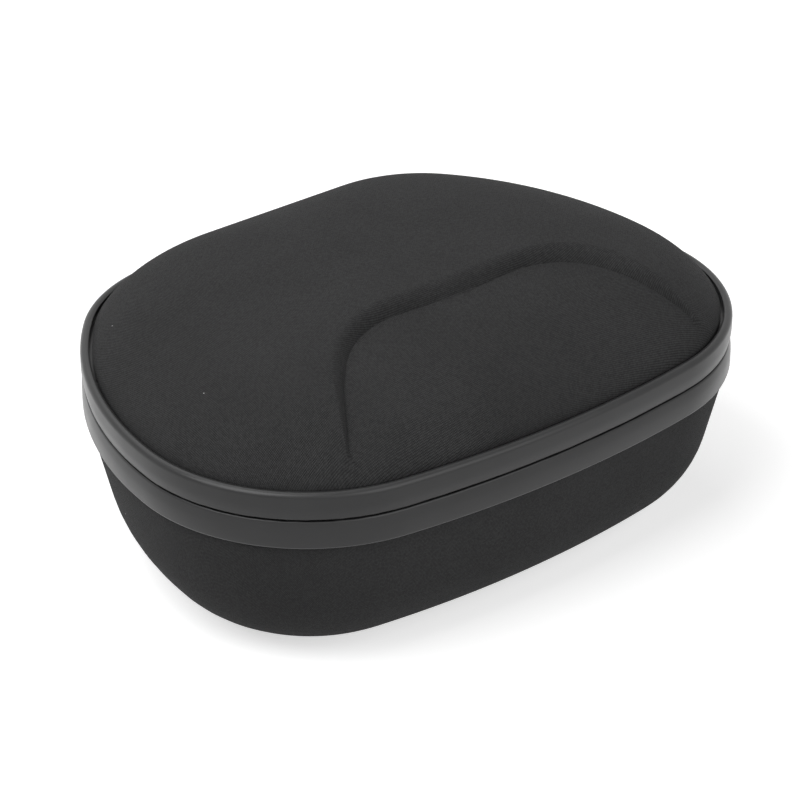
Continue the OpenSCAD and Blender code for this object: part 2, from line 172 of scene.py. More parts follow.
class Outline:
    """Five tangent runs on each half, from the front centre round to the hinge."""

    def __init__(self, s):
        h1, h2 = s.front_bow, math.pi / 2 + s.side_lean
        h3 = h2 + s.side_sweep
        rc, rb = s.front_corner_r, s.back_corner_r
        rf = (s.case_l / 2 - rc * (1 - math.sin(h1))) / math.sin(h1)
        rs = (s.case_d - rf * (1 - math.cos(h1)) - rc * (math.cos(h1) - math.cos(h2))
              - rb * (math.cos(h3) + 1)) / (math.cos(h2) - math.cos(h3))

        def out(a):
            return np.column_stack([np.sin(a), -np.cos(a)])

        cf = np.array([0, rf - s.case_d / 2])
        cc = cf + (rf - rc) * out(np.array([h1]))[0]
        cs = cc + (rc - rs) * out(np.array([h2]))[0]
        cb = cs + (rs - rb) * out(np.array([h3]))[0]
        self.side_c, self.side_r, self.back_x = cs, rs, cb[0]
        self.park = (h2 + h3) / 2
        runs = [(cf, rf, 0, h1, 14), (cc, rc, h1, h2, 34), (cs, rs, h2, h3, 24),
                (cb, rb, h3, math.pi, 22)]
        pts = np.vstack([c + r * out(headings(a, b, n)) for c, r, a, b, n in runs])
        nrm = np.vstack([out(headings(a, b, n)) for c, r, a, b, n in runs])
        self.half, self.half_n = pts, nrm
        self.back_y = s.case_d / 2

    def to_hinge(self, x, n):
        """The right half, carried on along the hinge side to x in n steps."""
        xs = np.linspace(self.back_x, x, n + 1)
        return (np.vstack([self.half, np.column_stack([xs, np.full(n + 1, self.back_y)])]),
                np.vstack([self.half_n, np.tile([0.0, 1.0], (n + 1, 1))]))

    def closed(self):
        """Points and outward directions, once round from the front centre."""
        p, d = self.to_hinge(0, 18)
        return np.vstack([p, p[-2:0:-1] * MIRROR]), np.vstack([d, d[-2:0:-1] * MIRROR])

    def opened(self, x, n=4):
        """The same, open at the hinge: from -x round the front to x."""
        p, d = self.to_hinge(x, n)
        return np.vstack([p[:0:-1] * MIRROR, p]), np.vstack([d[:0:-1] * MIRROR, d])


def run_length(p, closed=False):
    q = np.vstack([p, p[:1]]) if closed else p
    return np.concatenate([[0], np.cumsum(np.linalg.norm(np.diff(q, axis=0), axis=1))])


# ---------------------------------------------------------------- mesh by extrusion


# Points nearer than this are welded
WELD = 2e-6


def clear_selection():
    if bpy.context.object and bpy.context.object.mode != "OBJECT":
        bpy.ops.object.mode_set(mode="OBJECT")
    bpy.ops.object.select_all(action="DESELECT")


def activate(obj):
    clear_selection()
    obj.select_set(True)
    bpy.context.view_layer.objects.active = obj


def loop_vertices(me):
    idx = np.zeros(len(me.loops), int)
    me.loops.foreach_get("vertex_index", idx)
    return idx


def extruded_rings(name, rings, uv, open_path=False):
    """A circle is extruded ring by ring and laid on the places given: rings[k][i] is
    point i of ring k. Where uv has one more column, that is the start met again. An open
    path is cut between its last and first point and closed by an end face there."""
    rings, uv = np.asarray(rings, float), np.asarray(uv, float)
    m, n = rings.shape[:2]
    clear_selection()
    bpy.ops.mesh.primitive_circle_add(vertices=n, radius=0.1, fill_type="NOTHING")
    obj = bpy.context.object
    obj.name = obj.data.name = name
    bpy.ops.object.mode_set(mode="EDIT")
    bpy.ops.mesh.select_all(action="SELECT")
    for _ in range(m - 1):
        bpy.ops.mesh.extrude_region_move(TRANSFORM_OT_translate={"value": (0, 0, MM)})
    bpy.ops.object.mode_set(mode="OBJECT")
    me = obj.data
    me.vertices.foreach_set("co", rings.reshape(-1))
    me.update()
    k, i = np.divmod(loop_vertices(me), n)
    vals = uv[k, i].copy()
    if uv.shape[1] > n:
        quads = i.reshape(-1, 4)
        last_quad = (quads.max(1) == n - 1) & (quads.min(1) == 0)
        seam = np.repeat(last_quad, 4) & (i == 0)
        vals[seam] = uv[k[seam], n]
    me.uv_layers.new(name="cloth").data.foreach_set("uv", vals.reshape(-1))
    bpy.ops.object.mode_set(mode="EDIT")
    if open_path:
        bpy.ops.mesh.select_mode(type="FACE")
        bm = bmesh.from_edit_mesh(me)
        for f in bm.faces:
            js = [v.index % n for v in f.verts]
            f.select = min(js) == 0 and max(js) == n - 1
        bmesh.update_edit_mesh(me)
        bpy.ops.mesh.delete(type="ONLY_FACE")
        bpy.ops.mesh.select_mode(type="EDGE")
        bpy.ops.mesh.select_all(action="DESELECT")
        bm = bmesh.from_edit_mesh(me)
        for e in bm.edges:
            e.select = not e.link_faces
        bmesh.update_edit_mesh(me)
        bpy.ops.mesh.delete(type="EDGE")
    bpy.ops.mesh.select_mode(type="VERT")
    bpy.ops.mesh.select_all(action="SELECT")
    bpy.ops.mesh.remove_doubles(threshold=WELD)
    if open_path:
        bpy.ops.mesh.select_mode(type="EDGE")
        bpy.ops.mesh.select_all(action="DESELECT")
        bpy.ops.mesh.select_non_manifold(extend=False)
        bpy.ops.mesh.edge_face_add()
    bpy.ops.mesh.select_all(action="SELECT")
    bpy.ops.mesh.normals_make_consistent(inside=False)
    bpy.ops.object.mode_set(mode="OBJECT")
    return obj


def apply_modifier(obj, kind, **values):
    activate(obj)
    mod = obj.modifiers.new(kind.title(), kind)
    for key, value in values.items():
        setattr(mod, key, value)
    bpy.ops.object.modifier_apply(modifier=mod.name)


def smooth(obj, degrees):
    activate(obj)
    bpy.ops.object.shade_smooth_by_angle(angle=math.radians(degrees))


def dress(obj, look, body, node, *others):
    """Its material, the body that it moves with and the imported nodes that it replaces."""
    obj.data.materials.clear()
    obj.data.materials.append(MATERIALS[look])
    if body:
        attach(obj, body)
    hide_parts(node, *others)


def sweep(name, path, profile, closed_path):
    """A closed profile of [inset, height] points carried round a path."""
    p, d = path
    prof = list(profile) + [profile[0]]
    rings = [np.column_stack([p - q[0] * d, np.full(len(p), q[1])]) for q in prof]
    along = run_length(p, closed_path)
    across = run_length(np.array(prof))
    uv = [np.column_stack([along, np.full(len(along), w)]) for w in across]
    return extruded_rings(name, rings, uv, open_path=not closed_path)


# ---------------------------------------------------------------- shells


def bearing(p, c):
    return np.degrees(np.arctan2(p[:, 1] - c[1], p[:, 0] - c[0]) + math.pi / 2) % 360


def table(pts, c):
    a, r = bearing(pts, c), np.linalg.norm(pts - c, axis=1)
    o = np.argsort(a)
    return a[o], r[o]


def seen(a, t):
    return np.interp(a, t[0], t[1], period=360)


# How far the step's legs run on past the rim, its least share of the full width, and how
# far below the lip's top the dome meets the groove
LEG_BEYOND = 8 * MM
STEP_LEAST = 0.2
LIP_DROP = 0.7 * MM


class Dome:
    """The lid's crown with its arched recess, at a depth into the laminate."""

    def __init__(self, s, outline):
        self.s = s
        self.points, self.dirs = outline.closed()
        self.lip_z = s.tape_h - LIP_DROP
        self.dome_h = s.lid_h - self.lip_z
        self.crown_c = np.array([0, -s.crown_y])
        self.grid_c = np.array([0, (-s.case_d / 2 - s.arch_y) / 2])
        foot = np.array([s.arch_front_x, -s.case_d / 2 + s.lip_w])
        top = np.array([s.arch_back_x, -s.arch_y])
        leg = (foot - top) / np.linalg.norm(foot - top)
        turn = math.acos(-leg[0])
        cut = s.arch_r / math.tan(turn / 2)
        start, end = foot + leg * LEG_BEYOND, top + leg * cut
        centre = np.array([top[0] - cut, -s.arch_y - s.arch_r])
        a = (math.pi - turn) * (1 - np.linspace(0, 1, 40))
        half = np.vstack([
            start + (end - start) * np.linspace(0, 1, 40)[:-1, None],
            centre + s.arch_r * np.column_stack([np.sin(a), np.cos(a)]),
            np.column_stack([centre[0] * (1 - np.linspace(0, 1, 30)[1:]),
                             np.full(29, -s.arch_y)])])
        line = np.vstack([half, half[-2::-1] * [-1, 1]])
        self.arch = table(line, self.grid_c)

    def rho(self, p, rim):
        """0 where the dome is highest, 1 at its rim."""
        return np.minimum(1, np.linalg.norm(p - self.crown_c, axis=1)
                          / seen(bearing(p, self.crown_c), rim))

    def step_width(self, p, rim):
        share = (1 - self.rho(p, rim)) / (1 - self.s.step_narrow)
        return self.s.step_w * np.clip(share, STEP_LEAST, 1)

    def height(self, p, d, m, w, t, rim):
        """Height at the points p, which lie d out on spokes that cross the arch at m."""
        s, rho = self.s, self.rho(p, rim)
        crown = (self.dome_h - t) * np.maximum(0, 1 - rho ** s.crown_flat) ** (1 / s.crown_edge)
        u = np.clip((m - d) / w, 0, 1)
        run_out = np.clip((rho - s.step_fade) / (1 - s.step_fade), 0, 1)
        return s.seam_z + self.lip_z + crown - s.step_h * u * u * (1 - run_out ** 2)

    def rings(self, t, inner=22, step=16, outer=34):
        """Rings at depth t: inside the step, down its slope, out to the rim, then the foot."""
        s = self.s
        rim_pts = self.points - (s.lip_w + t) * self.dirs
        rim = table(rim_pts, self.crown_c)
        v = rim_pts - self.grid_c
        q = np.linalg.norm(v, axis=1)
        u = v / q[:, None]
        m = seen(bearing(rim_pts, self.grid_c), self.arch)
        w = self.step_width(self.grid_c + u * np.minimum(m, q)[:, None], rim)
        e = np.minimum(m, q * 0.9)
        ease = 1 - (1 - np.linspace(0, 1, outer + 1)[1:]) ** 1.8
        shares = ([(0, f) for f in np.linspace(0.003, 1, inner)[:-1]]
                  + [(1, f) for f in np.linspace(0, 1, step)]
                  + [(2, f) for f in ease])
        out = []
        for part, f in shares:
            if part == 0:
                d = (e - w) * f
            elif part == 1:
                d = e - w + w * f
            else:
                d = e + (q - e) * f
            p = self.grid_c + u * d[:, None]
            z = self.height(p, d, m, w, t, rim)
            out.append(np.column_stack([p, z]))
        out[-1][:, 2] = s.seam_z + self.lip_z
        out.append(np.column_stack([rim_pts, np.full(len(q), s.seam_z + s.edge_h)]))
        return out, u

    def unrolled(self, rings, u):
        """The cover's own coordinates: distance over the surface along each spoke."""
        steps = np.linalg.norm(np.diff(np.asarray(rings), axis=0), axis=2)
        run = np.vstack([np.linalg.norm(rings[0][:, :2] - self.grid_c, axis=1)[None], steps])
        return self.grid_c + u[None] * np.cumsum(run, axis=0)[:, :, None]

    def layer(self, t):
        """Rings and cloth coordinates at depth t, closed at the middle."""
        rings, u = self.rings(t)
        return close_pole(rings, self.unrolled(rings, u))


def base_wall(s, t, n=14):
    """The base's section as [inset, height], from under the bottom edge up to the seam side."""
    drop = s.seam_z - s.tape_h - s.bottom_r * (1 - math.sin(s.base_taper))
    bottom_s = (s.tape_t + math.tan(s.base_taper) * drop
                + s.bottom_r * math.cos(s.base_taper))
    out = []
    for i in range(n, -1, -1):
        a = s.base_taper + (math.pi / 2 - s.base_taper) * i / n
        out.append((bottom_s - (s.bottom_r - t) * math.cos(a),
                    s.bottom_r - (s.bottom_r - t) * math.sin(a)))
    top = (s.tape_t + t, s.seam_z - s.tape_h + t * math.tan(s.base_taper / 2))
    low = out[-1]
    out += [tuple(np.array(low) + (np.array(top) - low) * f) for f in (0.25, 0.5, 0.75, 1)]
    return out + [(s.tape_t + t, s.seam_z - s.edge_h)]


def base_rings(s, outline, t):
    p, d = outline.closed()
    wall = base_wall(s, t)
    first = p - wall[0][0] * d
    flat = [np.column_stack([first * f, np.full(len(p), wall[0][1])])
            for f in np.linspace(0.004, 1, 14)[:-1]]
    rings = flat + [np.column_stack([p - q[0] * d, np.full(len(p), q[1])]) for q in wall]
    uv = [r[:, :2] for r in flat] + [first + d * w for w in run_length(np.array(wall))]
    return rings, uv


def close_pole(rings, uv):
    """The last few millimetres at the middle close to one point."""
    mid = rings[0].mean(0)
    rings = [np.tile(mid, (len(rings[0]), 1))] + list(rings)
    uv = [np.tile(np.asarray(uv[0]).mean(0), (len(uv[0]), 1))] + list(uv)
    return rings, uv


# ---------------------------------------------------------------- shader groups


class Tree:
    """Short calls for the nodes of one shader tree."""

    def __init__(self, tree):
        self.tree = tree

    def node(self, kind, values=None, **props):
        n = self.tree.nodes.new(kind)
        for key, value in props.items():
            setattr(n, key, value)
        for key, value in (values or {}).items():
            self.put(n.inputs[key], value)
        return n

    def put(self, socket, value):
        if isinstance(value, bpy.types.NodeSocket):
            self.tree.links.new(value, socket)
        else:
            socket.default_value = value

    def solid_place(self):
        return self.node("ShaderNodeTexCoord").outputs["Object"]

    def cloth_place(self):
        return self.node("ShaderNodeUVMap", uv_map="cloth").outputs[0]

    def math(self, op, a, b=0.0, c=0.0):
        n = self.node("ShaderNodeMath", operation=op)
        for socket, value in zip(n.inputs, (a, b, c)):
            self.put(socket, value)
        return n.outputs[0]

    def vector(self, op, a, b=(0, 0, 0), scale=1.0):
        n = self.node("ShaderNodeVectorMath", operation=op)
        self.put(n.inputs[0], a)
        self.put(n.inputs[1], b)
        if op == "SCALE":
            self.put(n.inputs["Scale"], scale)
        return n.outputs[0]

    def mix(self, share, a, b, blend="MIX"):
        n = self.node("ShaderNodeMix", data_type="RGBA", blend_type=blend)
        self.put(n.inputs["Factor"], share)
        self.put(n.inputs["A"], a)
        self.put(n.inputs["B"], b)
        return n.outputs["Result"]

    def ramp(self, value, low, high, a=0.0, b=1.0):
        n = self.node("ShaderNodeMapRange", {"Value": value, "From Min": low,
                                             "From Max": high, "To Min": a, "To Max": b})
        return n.outputs["Result"]

    def noise(self, vec, scale, detail=2.0, rough=0.5):
        return self.node("ShaderNodeTexNoise", {"Vector": vec, "Scale": scale,
                                                "Detail": detail, "Roughness": rough})


def group(name, inputs, outputs):
    tree = bpy.data.node_groups.new(name, "ShaderNodeTree")
    for kind, label, default in inputs:
        s = tree.interface.new_socket(name=label, in_out="INPUT",
                                      socket_type="NodeSocket" + kind)
        if default is not None:
            s.default_value = default
    for kind, label in outputs:
        tree.interface.new_socket(name=label, in_out="OUTPUT", socket_type="NodeSocket" + kind)
    t = Tree(tree)
    return t, t.node("NodeGroupInput").outputs, t.node("NodeGroupOutput").inputs


def weave_group():
    """Plain weave: pillows where one thread passes over another, longer along the thread."""
    t, i, o = group("plain_weave",
                    [("Vector", "Vector", None), ("Float", "Pitch", 0.0006),
                     ("Float", "Wander", 0.05)],
                    [("Float", "Height"), ("Float", "Thread tone")])
    scaled = t.vector("SCALE", i["Vector"], scale=t.math("DIVIDE", 1.0, i["Pitch"]))
    drift = t.vector("SUBTRACT", t.noise(scaled, 0.11, 1.0).outputs["Color"], (0.5, 0.5, 0.5))
    moved = t.vector("ADD", scaled, t.vector("SCALE", drift, scale=t.math(
        "MULTIPLY", i["Wander"], 6.0)))
    sep = t.node("ShaderNodeSeparateXYZ", {"Vector": moved}).outputs
    cell, pillow = [], []
    for axis in (0, 1):
        cell.append(t.math("FLOOR", sep[axis]))
        side = t.math("SUBTRACT", t.math("MULTIPLY", t.math("FRACT", sep[axis]), 2.0), 1.0)
        pillow.append(t.math("SUBTRACT", 1.0, t.math("MULTIPLY", side, side)))
    parity = t.math("MODULO", t.math("ABSOLUTE", t.math("ADD", cell[0], cell[1])), 2.0)
    warp = t.math("MULTIPLY", t.math("POWER", pillow[0], 0.9), t.math("POWER", pillow[1], 0.35))
    weft = t.math("MULTIPLY", t.math("POWER", pillow[0], 0.35), t.math("POWER", pillow[1], 0.9))
    height = t.math("ADD", t.math("MULTIPLY", warp, parity),
                    t.math("MULTIPLY", weft, t.math("SUBTRACT", 1.0, parity)))
    spot = t.node("ShaderNodeCombineXYZ", {"X": cell[0], "Y": cell[1]}).outputs[0]
    dots = t.node("ShaderNodeTexWhiteNoise", {"Vector": spot}, noise_dimensions="2D")
    t.put(o["Height"], height)
    t.put(o["Thread tone"], dots.outputs["Value"])
    return t.tree


def grain_group():
    """Fine pebble of a coated film, with slow unevenness."""
    t, i, o = group("film_grain",
                    [("Vector", "Vector", None), ("Float", "Size", 0.0005)],
                    [("Float", "Height"), ("Float", "Patches")])
    scaled = t.vector("SCALE", i["Vector"], scale=t.math("DIVIDE", 1.0, i["Size"]))
    fine = t.noise(scaled, 1.0, 3.0, 0.6).outputs["Fac"]
    slow = t.noise(scaled, 0.03, 2.0, 0.5).outputs["Fac"]
    t.put(o["Height"], fine)
    t.put(o["Patches"], slow)
    return t.tree


def dust_group():
    """A few pale specks of lint."""
    t, i, o = group("lint_specks",
                    [("Vector", "Vector", None), ("Float", "Spacing", 0.011),
                     ("Float", "Share", 0.2)],
                    [("Float", "Mask")])
    scaled = t.vector("SCALE", i["Vector"], scale=t.math("DIVIDE", 1.0, i["Spacing"]))
    cells = t.node("ShaderNodeTexVoronoi", {"Vector": scaled, "Scale": 1.0})
    pick = t.node("ShaderNodeSeparateColor", {"Color": cells.outputs["Color"]}).outputs["Red"]
    size = t.math("MULTIPLY", t.math("LESS_THAN", pick, i["Share"]),
                  t.math("MULTIPLY_ADD", pick, 0.12, 0.014))
    t.put(o["Mask"], t.math("LESS_THAN", cells.outputs["Distance"], size))
    return t.tree


def use(t, tree, values):
    n = t.node("ShaderNodeGroup", node_tree=tree)
    for key, value in values.items():
        t.put(n.inputs[key], value)
    return n.outputs


def material(name, **shader):
    mat = bpy.data.materials.new(name)
    mat.use_nodes = True
    t = Tree(mat.node_tree)
    bsdf = mat.node_tree.nodes["Principled BSDF"]
    for key, value in shader.items():
        bsdf.inputs[key.replace("_", " ")].default_value = value
    return mat, t, bsdf.inputs


def scaled_tone(colour, k):
    return (colour[0] * k, colour[1] * k, colour[2] * k, 1.0)


def bumped(t, bsdf, height, distance, strength):
    bump = t.node("ShaderNodeBump", {"Height": height, "Distance": distance,
                                     "Strength": strength})
    t.put(bsdf["Normal"], bump.outputs[0])


def two_tone(t, bsdf, share, colour, low, high):
    """Base colour between two shades of one colour."""
    t.put(bsdf["Base Color"], t.mix(share, scaled_tone(colour, low), scaled_tone(colour, high)))


WHITE = (1, 1, 1)
LINT = (0.42, 0.42, 0.42, 1)


def cloth_material(name, colour, pitch, groups):
    mat, t, bsdf = material(name, Roughness=0.8, Specular_IOR_Level=0.06, Sheen_Weight=0.02,
                            Sheen_Roughness=0.45)
    obj = t.solid_place()
    weave = use(t, groups["weave"], {"Vector": t.cloth_place(), "Pitch": pitch})
    tone_mask = t.noise(obj, 28.0, 3.0).outputs["Fac"]
    # Painted shade: the colour follows the weave's height, dark in the hollows between threads
    # and pale on their crests, besides the bump.
    low = t.mix(weave["Height"], scaled_tone(colour, 0.25), scaled_tone(colour, 1.35))
    varied = t.mix(t.ramp(weave["Thread tone"], 0.0, 1.0, 0.0, 0.35), low,
                   scaled_tone(colour, 1.9))
    shade = t.mix(t.ramp(tone_mask, 0.3, 0.7), scaled_tone(WHITE, 0.93), scaled_tone(WHITE, 1.07))
    lint = use(t, groups["dust"], {"Vector": obj})["Mask"]
    t.put(bsdf["Base Color"], t.mix(lint, t.mix(1.0, varied, shade, "MULTIPLY"), LINT))
    t.put(bsdf["Roughness"], t.ramp(weave["Height"], 0.0, 1.0, 0.95, 0.7))
    bumped(t, bsdf, weave["Height"], 0.00012, 0.7)
    return mat


def film_material(name, colour, groups, edge_z):
    """Coated tape, paler in a thin strip along its lower edge at edge_z."""
    mat, t, bsdf = material(name, Roughness=0.34, Specular_IOR_Level=0.3)
    obj = t.solid_place()
    grain = use(t, groups["grain"], {"Vector": obj, "Size": 0.00045})
    shade = t.mix(t.ramp(grain["Patches"], 0.3, 0.7), scaled_tone(colour, 0.93),
                  scaled_tone(colour, 1.07))
    z = t.node("ShaderNodeSeparateXYZ", {"Vector": obj}).outputs["Z"]
    # Paler in a thin strip up to 0.7 mm above the edge at edge_z
    tone_mask = t.ramp(z, edge_z + 0.0002, edge_z + 0.0007, 1.0, 0.0)
    t.put(bsdf["Base Color"], t.mix(tone_mask, shade, scaled_tone(colour, 2.6)))
    t.put(bsdf["Roughness"], t.ramp(grain["Patches"], 0.25, 0.75, 0.27, 0.36))
    bumped(t, bsdf, grain["Height"], 0.00003, 0.5)
    return mat


def felt_material(name, colour):
    mat, t, bsdf = material(name, Roughness=0.95, Sheen_Weight=0.35, Sheen_Roughness=0.35,
                            Specular_IOR_Level=0.15)
    obj = t.solid_place()
    nap = t.noise(obj, 900.0, 3.0, 0.65).outputs["Fac"]
    slow = t.noise(obj, 35.0, 2.0).outputs["Fac"]
    blend = t.math("MULTIPLY", t.ramp(nap, 0.3, 0.7), t.ramp(slow, 0.2, 0.8, 0.7, 1.0))
    two_tone(t, bsdf, blend, colour, 0.65, 1.4)
    t.put(bsdf["Roughness"], t.ramp(nap, 0.0, 1.0, 0.88, 1.0))
    bumped(t, bsdf, nap, 0.0003, 0.5)
    return mat


def foam_material(name, colour):
    mat, t, bsdf = material(name, Roughness=0.9, Specular_IOR_Level=0.25)
    obj = t.solid_place()
    cells = t.node("ShaderNodeTexVoronoi", {"Vector": obj, "Scale": 1600.0}).outputs["Distance"]
    # Painted shade: darker in the middle of each cell, where the bump sinks into a pit, and paler
    # on the cell walls.
    two_tone(t, bsdf, cells, colour, 0.7, 1.5)
    bumped(t, bsdf, cells, 0.0002, 0.5)
    return mat


def ribbon_material(name, colour, rib=0.0011):
    """Ribbed ribbon: the ribs lie across its own length."""
    mat, t, bsdf = material(name, Roughness=0.75, Specular_IOR_Level=0.3, Sheen_Weight=0.1)
    uv = t.cloth_place()
    sep = t.node("ShaderNodeSeparateXYZ", {"Vector": uv}).outputs
    rib_wave = t.math("SINE", t.math("MULTIPLY", sep["X"], 2 * math.pi / rib))
    fine = t.math("SINE", t.math("MULTIPLY", sep["Y"], 2 * math.pi / (rib * 0.45)))
    height = t.math("ADD", t.math("MULTIPLY", rib_wave, 0.5),
                    t.math("MULTIPLY", fine, 0.2))
    # Painted shade: darker in the troughs of the ribs and paler on their crests, following the
    # same height as the bump.
    two_tone(t, bsdf, t.ramp(height, -0.7, 0.7), colour, 0.6, 1.6)
    t.put(bsdf["Roughness"], t.ramp(height, -0.7, 0.7, 0.9, 0.65))
    bumped(t, bsdf, height, 0.00015, 0.6)
    return mat


def metal_material(name, colour, groups):
    mat, t, bsdf = material(name, Metallic=0.85, Roughness=0.38)
    obj = t.solid_place()
    grain = use(t, groups["grain"], {"Vector": obj, "Size": 0.00025})
    two_tone(t, bsdf, t.ramp(grain["Patches"], 0.35, 0.65), colour, 0.85, 1.2)
    t.put(bsdf["Roughness"], t.ramp(grain["Height"], 0.2, 0.8, 0.3, 0.46))
    bumped(t, bsdf, grain["Height"], 0.00001, 0.4)
    return mat


def nylon_material(name, colour):
    mat, t, bsdf = material(name, Roughness=0.35, Specular_IOR_Level=0.5)
    obj = t.solid_place()
    n = t.noise(obj, 400.0, 2.0).outputs["Fac"]
    two_tone(t, bsdf, n, colour, 0.8, 1.4)
    t.put(bsdf["Roughness"], t.ramp(n, 0.3, 0.7, 0.3, 0.42))
    return mat


# Half width of a strand as a share of a hole
STRAND = 0.17


def net_material(name, colour, hole=0.0019):
    """Knitted net: a honeycomb of holes between soft strands."""
    mat, t, bsdf = material(name, Roughness=0.7, Specular_IOR_Level=0.35)
    uv = t.cloth_place()
    cells = t.node("ShaderNodeTexVoronoi", {"Vector": uv, "Scale": 1.0 / hole,
                                            "Randomness": 0.12},
                   feature="DISTANCE_TO_EDGE", voronoi_dimensions="2D").outputs["Distance"]
    t.put(bsdf["Alpha"], t.math("LESS_THAN", cells, STRAND))
    # Painted shade: each strand is paler along its middle and darker towards the holes, as light
    # falls on a rounded strand.
    two_tone(t, bsdf, t.ramp(cells, 0.0, STRAND), colour, 1.5, 0.7)
    bumped(t, bsdf, t.ramp(cells, 0.0, STRAND, 1.0, 0.0), 0.0003, 0.6)
    return mat


MATERIALS = {}


def build_materials():
    f = bpy.context.scene.case_finish
    groups = {"weave": weave_group(), "grain": grain_group(), "dust": dust_group()}
    s = bpy.context.scene.case_shape
    MATERIALS.update(
        cover=cloth_material("woven_cover", f.cloth, f.thread, groups),
        film=film_material("coated_tape", f.film, groups, s.seam_z - s.tape_h),
        lining=felt_material("brushed_lining", f.lining),
        foam=foam_material("foam_core", f.foam),
        ribbon=ribbon_material("ribbed_binding", f.ribbon),
        elastic=ribbon_material("ribbed_elastic", f.ribbon, 0.0016),
        net=net_material("knitted_net", f.ribbon),
        coil=nylon_material("nylon_coil", f.coil),
        metal=metal_material("painted_zip_metal", f.metal, groups),
    )


# ---------------------------------------------------------------- operators


class CaseOperator(bpy.types.Operator):
    bl_options = {"REGISTER", "UNDO"}

    def execute(self, context):
        self.shape = context.scene.case_shape
        self.outline = Outline(self.shape)
        self.build()
        return {"FINISHED"}


# Share of a layer's thickness that its cloth takes up
SHEET_SHARE = 0.9


def cloth_pair(op, kind, depth, thickness, offset):
    """One layer of cloth on the base and on the lid, its outer or inner face at a depth."""
    dome = Dome(op.shape, op.outline)
    layers = {"base": close_pole(*base_rings(op.shape, op.outline, depth)),
              "lid": dome.layer(depth)}
    pair = {body: extruded_rings(f"{body}_{kind}_cloth", rings, uv)
            for body, (rings, uv) in layers.items()}
    for body, obj in pair.items():
        apply_modifier(obj, "SOLIDIFY", thickness=thickness * SHEET_SHARE, offset=offset)
        smooth(obj, 60)
        dress(obj, kind, body, f"{body}_{kind}")
    return dome


class CASE_OT_covers(CaseOperator):
    """Woven covers of the base and the lid"""
    bl_idname = "case.covers"
    bl_label = "Woven covers"

    def build(self):
        cloth_pair(self, "cover", 0, self.shape.cover_t, -1)


class CASE_OT_linings(CaseOperator):
    """Brushed linings inside the two shells, and the foam between them and the covers"""
    bl_idname = "case.linings"
    bl_label = "Linings and foam"

    def build(self):
        s = self.shape
        dome = cloth_pair(self, "lining", s.cover_t + s.foam_t + s.lining_t, s.lining_t, 1)
        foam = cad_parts["base_foam"]
        foam.data.materials.clear()
        foam.data.materials.append(MATERIALS["foam"])
        outer, outer_uv = dome.layer(s.cover_t)
        inner, inner_uv = dome.layer(s.cover_t + s.foam_t)
        core = extruded_rings("lid_foam_core", outer + inner[::-1], outer_uv + inner_uv[::-1])
        smooth(core, 60)
        dress(core, "foam", "lid", "lid_foam")


# The rolled lip: its crest as a share of the lip, where its roll ends (degrees), and the
# inset and drops of the two points that carry it down into the groove
CREST = 0.46
ROLL_END = 128
LIP_EDGE, LIP_TURN, LIP_DOWN = 0.25 * MM, 1.25 * MM, 1.9 * MM
# A tape's outer foot: insets of its edge, its flat and its inner corner, and their height
FOOT_EDGE, FOOT_FLAT, FOOT_BACK, FOOT_H = 0.12 * MM, 0.4 * MM, 0.1 * MM, 0.3 * MM
SEAM_EDGE = 0.22 * MM
WEB = 0.2 * MM


def bulge(s, b):
    """How far a tape draws in at height b from the seam."""
    return s.seam_set * (1 - math.sin(math.pi / 2 * min(1, abs(b) / (s.tape_h / 2))))


def lip_curve(s, groove):
    """The rolled lip, from the band's face over its crest and down into the groove."""
    rim = s.lip_w - groove
    roll = [(s.lip_w * CREST * (1 - math.cos(a)),
             s.tape_h - s.lip_roll + s.lip_roll * math.sin(a))
            for a in np.radians(np.linspace(0, ROLL_END, 14))]
    return roll + [(rim - LIP_EDGE, s.tape_h - LIP_TURN), (rim, s.tape_h - LIP_DOWN)]


def tape_profiles(s, groove):
    """Closed profiles of the lid tape and the base tape as [inset, height over the seam]."""
    gap, thick, low = s.seam_half, s.tape_t, s.tape_h
    bottom = s.tape_h - s.groove_z
    skirt = [(bulge(s, b), b) for b in np.linspace(gap + SEAM_EDGE, s.tape_h / 2, 9)]
    lip = lip_curve(s, groove) + [
        (s.lip_w - groove, bottom), (s.lip_w + LIP_EDGE, bottom - 0.05 * MM),
        (s.lip_w + WEB, bottom - MM), (thick, s.edge_h + WEB)]
    foot = [(0.0, low - thick * 0.55), (FOOT_EDGE, low - FOOT_H), (FOOT_FLAT, low),
            (thick - FOOT_BACK, low), (thick, low - FOOT_H)]
    at_seam = bulge(s, gap)
    inside = [(bulge(s, gap + MM) + thick, gap + MM), (at_seam + thick, gap + SEAM_EDGE),
              (at_seam + thick - SEAM_EDGE, gap), (at_seam + SEAM_EDGE, gap)]
    return skirt + lip + inside, skirt + foot + inside


